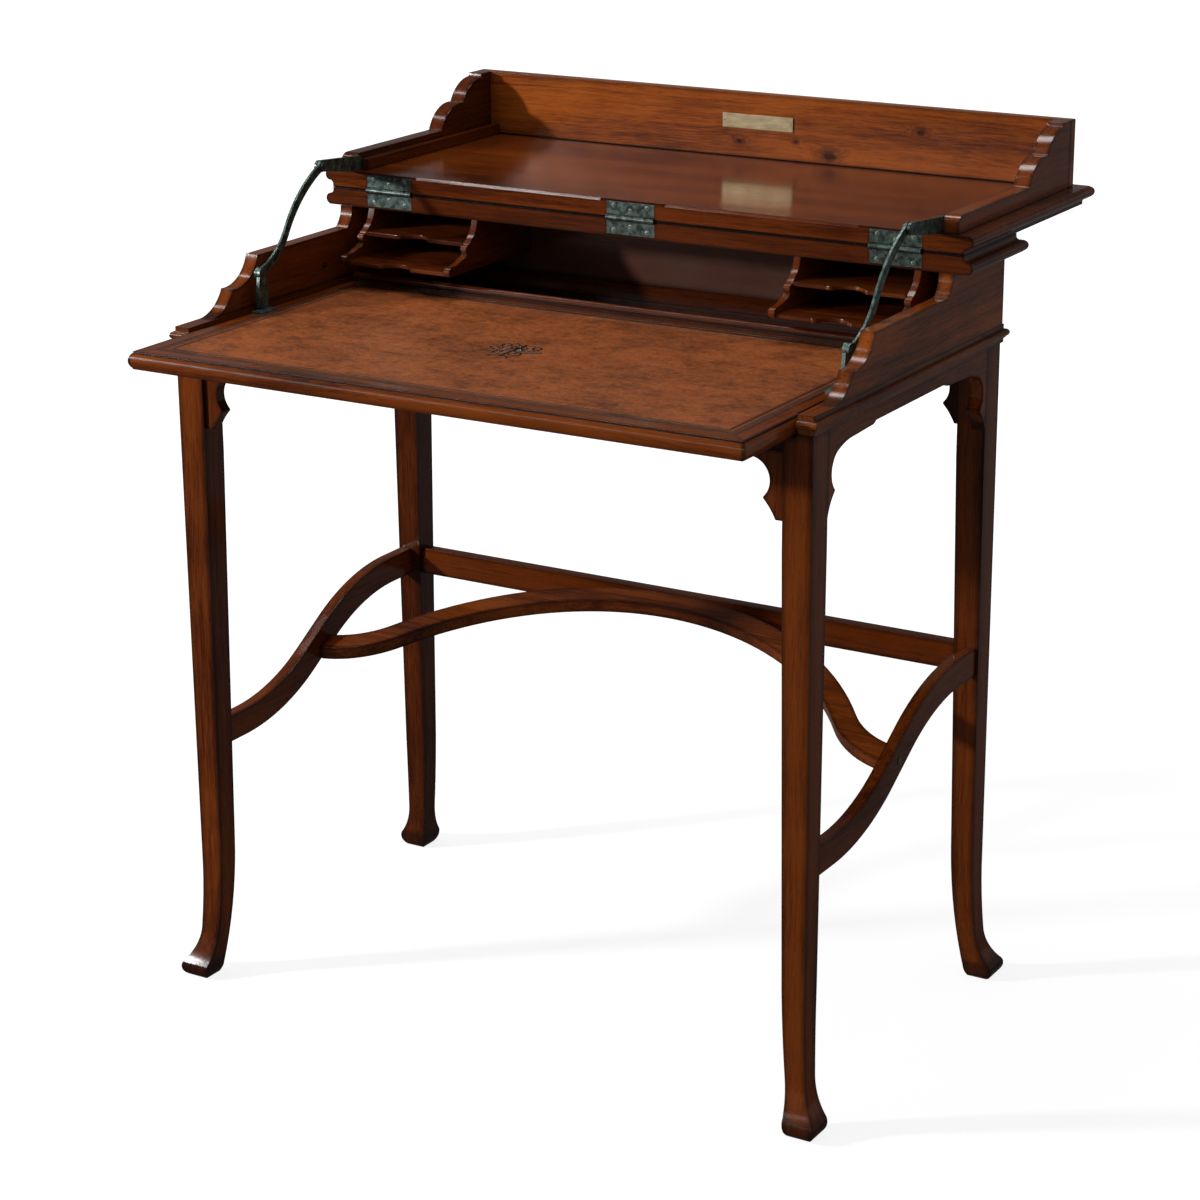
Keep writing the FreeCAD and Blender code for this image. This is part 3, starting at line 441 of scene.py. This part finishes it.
# dark lines, and the feet darker towards the floor: axis, level and half width in mm, strength
TOP_JOINT = ("z", 861.2, 2.2, 0.97)
GALLERY_JOINT = ("y", 340, 1.6, 0.9)
GALLERY_FOOT = ("z", 881.5, 2.2, 0.9)
DARKER_FOOT_BOTTOMS = ("z", 0.0, 26.0, 0.6)
GALLERY_KNOTS = ((0.2072, 0.340, 0.9278, 0.005), (0.0924, 0.340, 0.8911, 0.009),
                 (-0.0244, 0.340, 0.8999, 0.004), (0.0489, 0.340, 0.9049, 0.0025))

# boards and their finish: (node, grain, seed, tone, stain, glaze and arris in mm, more)
SINGLE_BOARDS = [
    ("front_rail", "x", 1, 0.3, "brown", 7, 0.5, {}),
    ("rear_apron", "x", 2, 0.3, "umber", 8, 0.5, {}),
    ("rear_stretcher", "x", 3, 0.4, "russet", 7, 1.2, {}),
    ("cross_stretcher", "x", 4, 0.6, "honey", 6, 1.4, {}),
    ("base_moulding_rear", "x", 5, 0.35, "umber", 4, 0.5, {}),
    # the case back's dark stain and pale film are partly its own dark polish, partly painted
    # shade and a painted hazy sheen inside the case
    ("case_back", "x", 6, 0.4, "umber", 6, 0.6, {"bloom": 0.3}),
    ("fixed_top", "x", 7, 0.5, "brown", 4, 0.8, {"seams": (TOP_JOINT,)}),
    ("flap_board", "x", 8, 0.5, "amber", 4, 0.8,
     {"seams": (TOP_JOINT, GALLERY_JOINT), "rough": 0.12}),
    ("gallery_back", "x", 9, 0.9, "clear", 6, 1.0,
     {"knots": GALLERY_KNOTS, "seams": (GALLERY_FOOT,)}),
    # the well floor is stained near black: painted shade where the well lies in shadow
    ("well_floor", "x", 10, 0.1, "painted_shade", 6, 0.6, {}),
    ("slab_core", "x", 11, 0.3, "umber", 6, 0.4, {}),
    ("slab_border_front", "x", 12, 0.7, "amber", 3, 0.4, {}),
    ("slab_border_rear", "x", 13, 0.4, "russet", 4, 0.4, {}),
    ("slab_lip", "x", 14, 0.4, "russet", 3, 0.5, {}),
]
# the same for a board with a twin on the other side, with its left and right stains; where they
# differ, the paler right-hand stain partly paints light onto the side that the key lamp leaves
# in shade
PAIRED_BOARDS = [
    ("leg_front_{}", "z", 15, 0.6, ("amber", "amber"), 9, 1.3, {"seams": (DARKER_FOOT_BOTTOMS,)}),
    ("leg_rear_{}", "z", 16, 0.5, ("russet", "amber"), 9, 1.3, {"seams": (DARKER_FOOT_BOTTOMS,)}),
    ("side_apron_{}", "y", 17, 0.6, ("brown", "clear"), 5, 0.8, {}),
    ("bracket_front_{}", "z", 18, 0.45, ("brown", "amber"), 5, 0.9, {}),
    ("bracket_rear_{}", "z", 19, 0.35, ("umber", "umber"), 7, 0.9, {}),
    ("side_stretcher_{}", "y", 20, 0.5, ("amber", "amber"), 6, 1.4, {}),
    ("base_moulding_{}", "y", 21, 0.7, ("brown", "clear"), 2, 0.5, {}),
    ("case_side_{}", "y", 22, 0.8, ("russet", "clear"), 6, 0.8, {}),
    ("gallery_side_{}", "y", 23, 0.5, ("brown", "honey"), 6, 1.0, {}),
    ("gallery_batten_{}", "y", 24, 0.5, ("brown", "brown"), 3, 1.0, {}),
    ("slab_border_{}", "y", 25, 0.6, ("amber", "honey"), 3, 0.4, {}),
    ("slab_runner_{}", "y", 26, 0.3, ("umber", "umber"), 6, 0.6, {}),
    ("rack_{}_inner_end", "y", 27, 0.5, ("russet", "russet"), 2, 0.8, {}),
    ("rack_{}_outer_end", "y", 28, 0.5, ("russet", "russet"), 2, 0.8, {}),
    ("rack_{}_lower_shelf", "x", 29, 0.5, ("russet", "russet"), 2, 0.8, {}),
    ("rack_{}_upper_shelf", "x", 30, 0.5, ("russet", "russet"), 2, 0.8, {}),
]


def boards():
    """Every board of the desk, one row each."""
    yield from SINGLE_BOARDS
    for pattern, grain, seed, tone, (left, right), *rest in PAIRED_BOARDS:
        yield (pattern.format("left"), grain, seed, tone, left, *rest)
        yield (pattern.format("right"), grain, seed + RIGHT_SEED, tone, right, *rest)


for node, grain, seed, tone, stain, glaze, arris, more in boards():
    dressed(node, board_finish(grain, seed, tone, stain, glaze=glaze, **more), arris * MM)

PATINA = material("dark_patina", patina)
PALE_PATINA = material("pale_patina", patina, dark=(56, 70, 66), pale=(116, 138, 131))
for node in ("hinge_leaves_fixed", "hinge_leaves_flap", "hinge_pins", "stretcher_screws"):
    dressed(node, PATINA, 0.3 * MM)
for side, sign in SIDES:
    for node in (f"stay_link_{side}", f"stay_plate_{side}", f"stay_foot_{side}"):
        dressed(node, PALE_PATINA, 0.4 * MM)
dressed("stop_pegs", board_finish("x", 31, 0.3, "umber", glaze=2), 0.5 * MM)
dressed("name_plate", material("brushed_brass", brushed_brass), 0.3 * MM)

# ------------------------------------------------------------------ leather

SKIVER_LOW, SKIVER_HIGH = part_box("leather_skiver")
HIDE = material("brown_hide", hide, half_width=SKIVER_HIGH[0], front=SKIVER_LOW[1],
                rear=SKIVER_HIGH[1])


def slab_of(name, low, high):
    """A block between two corners, with its place in its mesh."""
    middle = [(a + b) / 2 for a, b in zip(low, high)]
    size = [b - a for a, b in zip(low, high)]
    bpy.ops.mesh.primitive_cube_add(size=1, location=middle)
    piece = bpy.context.active_object
    piece.name = name
    piece.scale = size
    bpy.ops.object.transform_apply(location=True, rotation=True, scale=True)
    return piece


def pick_faces(piece, wanted):
    """Enters edit mode with only the faces selected for which wanted(face) is true."""
    only(piece)
    bpy.ops.object.mode_set(mode="EDIT")
    bpy.ops.mesh.select_mode(type="FACE")
    bpy.ops.mesh.select_all(action="DESELECT")
    bpy.ops.object.mode_set(mode="OBJECT")
    for face in piece.data.polygons:
        face.select = wanted(face)
    bpy.ops.object.mode_set(mode="EDIT")


# the tooled border, from the edge inwards: width of each step and its rise, in mm
TOOLED_STEPS = ((0.5, -0.35), (0.9, 0.3), (9.6, 0.0), (0.4, -0.3), (1.6, 0.0),
                (0.4, 0.3), (1.3, 0.0), (0.3, -0.25), (0.5, 0.0), (0.3, 0.25))


def skiver():
    """The leather, with a tooled double line pressed in round its edge."""
    piece = slab_of("leather_writing_surface", SKIVER_LOW, SKIVER_HIGH)
    pick_faces(piece, lambda face: face.normal.z > 0.9)
    for inset, rise in TOOLED_STEPS:
        bpy.ops.mesh.inset(thickness=inset * MM, depth=0.0)
        if rise:
            bpy.ops.transform.translate(value=(0, 0, rise * MM))
    bpy.ops.object.mode_set(mode="OBJECT")
    only(piece)
    bpy.ops.object.shade_smooth_by_angle(angle=math.radians(25))
    return piece


leather = skiver()
belongs(leather, "slab", HIDE)
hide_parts("leather_skiver")

# ------------------------------------------------------------------ screws and pins


def screw_head(radius, turn):
    """A slotted, slightly domed screw head at the origin, facing +Z."""
    depth, sunk = 1.2 * MM, 0.2 * MM
    slot_half, slot_floor = 0.32 * MM, 0.02 * MM
    bpy.ops.mesh.primitive_cylinder_add(vertices=24, radius=radius, depth=depth,
                                        location=(0, 0, -sunk))
    head = bpy.context.active_object
    bpy.ops.object.transform_apply(location=True, rotation=True, scale=True)
    pick_faces(head, lambda face: face.normal.z > 0.9)
    for inset, rise in ((0.22, 0.12), (0.3, 0.06)):
        bpy.ops.mesh.inset(thickness=radius * inset, depth=0.0)
        bpy.ops.transform.translate(value=(0, 0, rise * MM))
    bpy.ops.object.mode_set(mode="OBJECT")
    slot = slab_of("slot", (-radius * 1.2, -slot_half, slot_floor),
                   (radius * 1.2, slot_half, 2 * MM))
    modified(head, "BOOLEAN", operation="DIFFERENCE", object=slot)
    bpy.data.objects.remove(slot)
    head.data.transform(Matrix.Rotation(math.radians(turn), 4, "Z"))
    only(head)
    bpy.ops.object.shade_smooth_by_angle(angle=math.radians(35))
    return head


def set_in(name, places, facing, radius, body):
    """Screw heads at these places, facing one way, as one piece."""
    heads = []
    aim = Vector(facing).to_track_quat("Z", "Y").to_matrix().to_4x4()
    for count, place in enumerate(places):
        head = screw_head(radius, 37.0 * count + 12.0)
        head.name = f"{name}_{count}"
        head.data.transform(Matrix.Translation(place) @ aim)
        heads.append(head)
    belongs(united(name, heads), body, PATINA)


HINGE_MIDDLES = (-0.318, 0.0, 0.318)
HINGE_SCREW_STEP = 21 * MM
# the heads stand less than half the gap between the closed leaves above them
LEAF_FACE = 0.0463
# the level of the outer screws and of the middle one
HINGE_SCREW_ROWS = (("hinge_screws_flap", "flap", 0.8748, 0.8702),
                    ("hinge_screws_fixed", "frame", 0.8478, 0.8524))
for name, body, outer, inner in HINGE_SCREW_ROWS:
    spots = [(middle + step * HINGE_SCREW_STEP, LEAF_FACE, outer if step else inner)
             for middle in HINGE_MIDDLES for step in (-1, 0, 1)]
    set_in(name, spots, (0, -1, 0), 2.7 * MM, body)
for side, sign in SIDES:
    set_in(f"stay_foot_screws_{side}",
           [(sign * 0.3502, y, 0.7610) for y in (-0.1610, -0.1410)],
           (0, 0, 1), 2.2 * MM, "slab")
    set_in(f"stay_plate_screws_{side}", [(sign * 0.3650, 0.0525, 0.8910)],
           (-sign, 0, 0), 2.4 * MM, "flap")


def plate_pins():
    """The two small domed pins of the brass plate."""
    pins = []
    for side, sign in SIDES:
        bpy.ops.mesh.primitive_uv_sphere_add(segments=16, ring_count=8, radius=1.1 * MM,
                                             location=(sign * 0.0432, 0.3384, 0.9238))
        pin = bpy.context.active_object
        pin.scale = (1.0, 0.45, 1.0)
        bpy.ops.object.transform_apply(location=True, rotation=True, scale=True)
        bpy.ops.object.shade_smooth()
        pins.append(pin)
    belongs(united("plate_pins", pins), "flap", PATINA)


plate_pins()

# ------------------------------------------------------------------ crest

CREST_MIDDLE = (-0.0155, -0.170)
CREST_SCALE = 0.9 * MM
CREST_RELIEF = 0.45
# scrolls and leaves of the right half, as points from the crest's middle, and their width
# in mm
CREST_LINES = [
    ([(0, -30), (0, -14), (0, 8), (0, 28)], 3.0),
    ([(0, -14), (9, -24), (19, -17), (16, -7), (9, -8), (10, -14)], 2.4),
    ([(0, 6), (12, 2), (24, 10), (27, 22), (18, 26), (14, 17), (20, 13)], 2.4),
    ([(0, -2), (12, -9), (26, -5), (36, 5)], 2.6),
    ([(0, 0), (10, -2), (21, 1), (30, 10)], 1.8),
    ([(0, 16), (7, 26), (15, 32)], 2.0),
    ([(0, -22), (5, -28), (11, -30), (13, -36)], 1.8),
    ([(7, 6), (12, 13), (6, 18), (2, 11), (7, 6)], 2.0),
]


def crest():
    """A generic scrolled flourish, pressed and blackened in the middle of the leather."""
    strands = []
    for count, (points, width) in enumerate(CREST_LINES):
        for mirrored in ((-1, 1) if any(x for x, y in points) else (1,)):
            line = bpy.data.curves.new(f"strand_{count}", "CURVE")
            line.dimensions = "3D"
            line.bevel_depth = width * MM / 2
            line.bevel_resolution = 2
            line.use_fill_caps = True
            spline = line.splines.new("NURBS")
            spline.points.add(len(points) - 1)
            for point, (x, y) in zip(spline.points, points):
                point.co = (CREST_MIDDLE[0] + mirrored * x * CREST_SCALE,
                            CREST_MIDDLE[1] + y * CREST_SCALE, SKIVER_HIGH[2], 1.0)
            spline.order_u = 3
            spline.use_endpoint_u = True
            strand = bpy.data.objects.new(f"strand_{count}", line)
            bpy.context.scene.collection.objects.link(strand)
            only(strand)
            bpy.ops.object.convert(target="MESH")
            strands.append(bpy.context.active_object)
    whole = united("leather_flourish", strands)
    face = SKIVER_HIGH[2]
    for vertex in whole.data.vertices:
        vertex.co.z = face + (vertex.co.z - face) * CREST_RELIEF
    bpy.ops.object.shade_smooth()
    belongs(whole, "slab", material("blackened_tooling", tooling))


crest()

# ------------------------------------------------------------------ camera, lights, floor

CAMERA_PLACE = (1.65873, -2.78738, 1.51387)
CAMERA_YAW, CAMERA_PITCH, CAMERA_ROLL = 30.974, -18.343, -0.417
LENS = 91.66

camera_data = bpy.data.cameras.new("Camera")
camera_data.lens = LENS
camera_data.sensor_width = 36.0
camera_data.clip_start = 0.05
camera_data.clip_end = 60.0
camera = bpy.data.objects.new("Camera", camera_data)
bpy.context.scene.collection.objects.link(camera)
turn = (Matrix.Rotation(math.radians(CAMERA_YAW), 3, "Z")
        @ Matrix.Rotation(math.radians(90.0 + CAMERA_PITCH), 3, "X")
        @ Matrix.Rotation(math.radians(CAMERA_ROLL), 3, "Z"))
camera.matrix_world = Matrix.Translation(CAMERA_PLACE) @ turn.to_4x4()
bpy.context.scene.camera = camera
bpy.context.scene.view_settings.view_transform = "Standard"


def softbox(name, place, target, size, power):
    """A rectangular area lamp at place, facing target."""
    lamp = bpy.data.lights.new(name, "AREA")
    lamp.shape = "RECTANGLE"
    lamp.size, lamp.size_y = size
    lamp.energy = power
    holder = bpy.data.objects.new(name, lamp)
    bpy.context.scene.collection.objects.link(holder)
    aim = Vector(target) - Vector(place)
    holder.matrix_world = (Matrix.Translation(place)
                           @ aim.to_track_quat("-Z", "Y").to_matrix().to_4x4())


DESK_MIDDLE = (0.0, -0.05, 0.6)
# each lamp's place, what it faces, its width and height, and its power in watts
softbox("key_softbox", (-2.42, -1.98, 1.6), DESK_MIDDLE, (0.2, 0.2), 95.0)
softbox("overhead_softbox", (-0.35, 0.45, 2.9), DESK_MIDDLE, (0.8, 0.5), 12.0)
softbox("high_strip", (-1.4, -0.42, 2.88), (-1.2, -0.1, 0.6), (1.6, 0.12), 9.0)
softbox("front_strip", (-1.25, -2.1, 1.5), (0.0, -0.3, 0.75), (1.4, 0.1), 2.2)


def rays(shader):
    """1 for camera rays, and 1 for glossy and transmission rays."""
    camera_ray, glossy, passing = (
        shader.node("ShaderNodeLightPath", out=name)
        for name in ("Is Camera Ray", "Is Glossy Ray", "Is Transmission Ray"))
    return camera_ray, (glossy + passing).at_most(1.0)


world = bpy.data.worlds.new("Studio")
bpy.context.scene.world = world
world.use_nodes = True
air = Shader(world.node_tree)
# white where it is seen directly, and a dim room with a paler skyline for the polish
height = air.axes(air.node("ShaderNodeTexCoord", out="Generated"))[2]
seen, mirrored = rays(air)
air.node("ShaderNodeOutputWorld", None, {"Surface": air.node(
    "ShaderNodeBackground", None,
    {"Color": (1.0, 1.0, 1.0, 1.0),
     "Strength": seen + mirrored * height.ramp(0.03, 0.35, 0.2, 0.07)
     + (1.0 - seen - mirrored).at_least(0.0) * 0.31})})


def pale_floor(shader):
    """White where it is seen directly, apart from the desk's faint shadow."""
    place = shader.place()
    far = shader.vector("LENGTH", place, out="Value").ramp(0.6, 2.6)
    back = shader.axes(place)[1].ramp(-0.6, 2.0, 0.04, 0.12)
    seen, mirrored = rays(shader)
    glow = shader.node("ShaderNodeEmission", None, {
        "Color": (1.0, 1.0, 1.0, 1.0),
        "Strength": seen * (far * 0.2 + 0.86) + mirrored * back})
    card = shader.node("ShaderNodeBsdfDiffuse", None, {"Color": shader.mix(
        mirrored, (0.25, 0.25, 0.25, 1.0), (0.0, 0.0, 0.0, 1.0))})
    return shader.node("ShaderNodeAddShader", None, {0: glow, 1: card})


FLOOR_SIZE, FLOOR_LEVEL = 40.0, -0.0005
bpy.ops.mesh.primitive_plane_add(size=FLOOR_SIZE, location=(0.0, 0.0, FLOOR_LEVEL))
floor = bpy.context.active_object
floor.name = "floor"
bpy.ops.object.transform_apply(location=True, rotation=True, scale=True)
painted(floor, material("pale_floor", pale_floor))
